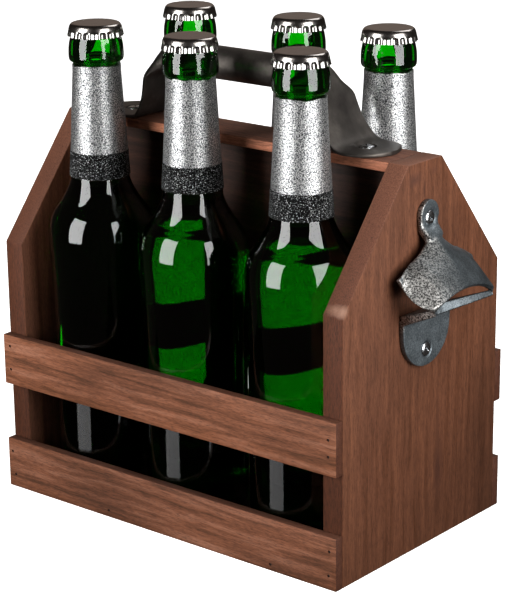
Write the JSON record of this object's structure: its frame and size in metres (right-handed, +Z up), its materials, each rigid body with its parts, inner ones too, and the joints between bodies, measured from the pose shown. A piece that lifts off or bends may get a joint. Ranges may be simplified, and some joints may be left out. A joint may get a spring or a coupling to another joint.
{
  "type": "wooden six-bottle carrier",
  "caption": "Open wooden bottle carrier with gabled ends, side slats, a steel top handle and a wall-type cap opener, filled with crown-capped green glass bottles.",
  "frame": {"origin": "middle of the underside of the whole part's bounding box, on the surface it stands on", "axes": "+X along the carrier towards the end panel with the opener; +Y across the carrier, away from the side that the picture shows; +Z up"},
  "size_m": [0.2624, 0.1474, 0.2658],
  "materials": {
    "stained_wood": "red-brown stained softwood, satin, grain along each board",
    "gunmetal_steel": "dark gunmetal, smooth, semi-gloss",
    "cast_iron": "rough grey cast iron with bright worn edges",
    "zinc_screw": "bright zinc plating",
    "green_glass": "dark green bottle glass, clear and glossy",
    "drink": "clear amber liquid",
    "silver_foil": "silver neck foil with a fine black speckle",
    "black_label": "black speckled neck label, satin",
    "tinplate": "plain polished tinplate"
  },
  "bodies": {
    "root": {"end_panel_left": "stained_wood", "end_panel_right": "stained_wood", "base_board": "stained_wood", "top_rail": "stained_wood", "rail_web": "stained_wood", "front_slat_lower": "stained_wood", "back_slat_lower": "stained_wood", "front_slat_upper": "stained_wood", "back_slat_upper": "stained_wood", "handle": "gunmetal_steel", "handle_screw_left": "zinc_screw", "handle_screw_right": "zinc_screw", "opener": "cast_iron", "opener_screw_top": "zinc_screw", "opener_screw_bottom": "zinc_screw", "bottle_1_glass": "green_glass", "bottle_1_drink": "drink", "bottle_1_neck_foil": "silver_foil", "bottle_1_neck_band": "black_label", "bottle_1_cap": "tinplate", "bottle_2_glass": "green_glass", "bottle_2_drink": "drink", "bottle_2_neck_foil": "silver_foil", "bottle_2_neck_band": "black_label", "bottle_2_cap": "tinplate", "bottle_3_glass": "green_glass", "bottle_3_drink": "drink", "bottle_3_neck_foil": "silver_foil", "bottle_3_neck_band": "black_label", "bottle_3_cap": "tinplate", "bottle_4_glass": "green_glass", "bottle_4_drink": "drink", "bottle_4_neck_foil": "silver_foil", "bottle_4_neck_band": "black_label", "bottle_4_cap": "tinplate", "bottle_5_glass": "green_glass", "bottle_5_drink": "drink", "bottle_5_neck_foil": "silver_foil", "bottle_5_neck_band": "black_label", "bottle_5_cap": "tinplate", "bottle_6_glass": "green_glass", "bottle_6_drink": "drink", "bottle_6_neck_foil": "silver_foil", "bottle_6_neck_band": "black_label", "bottle_6_cap": "tinplate"}
  },
  "joints": []
}
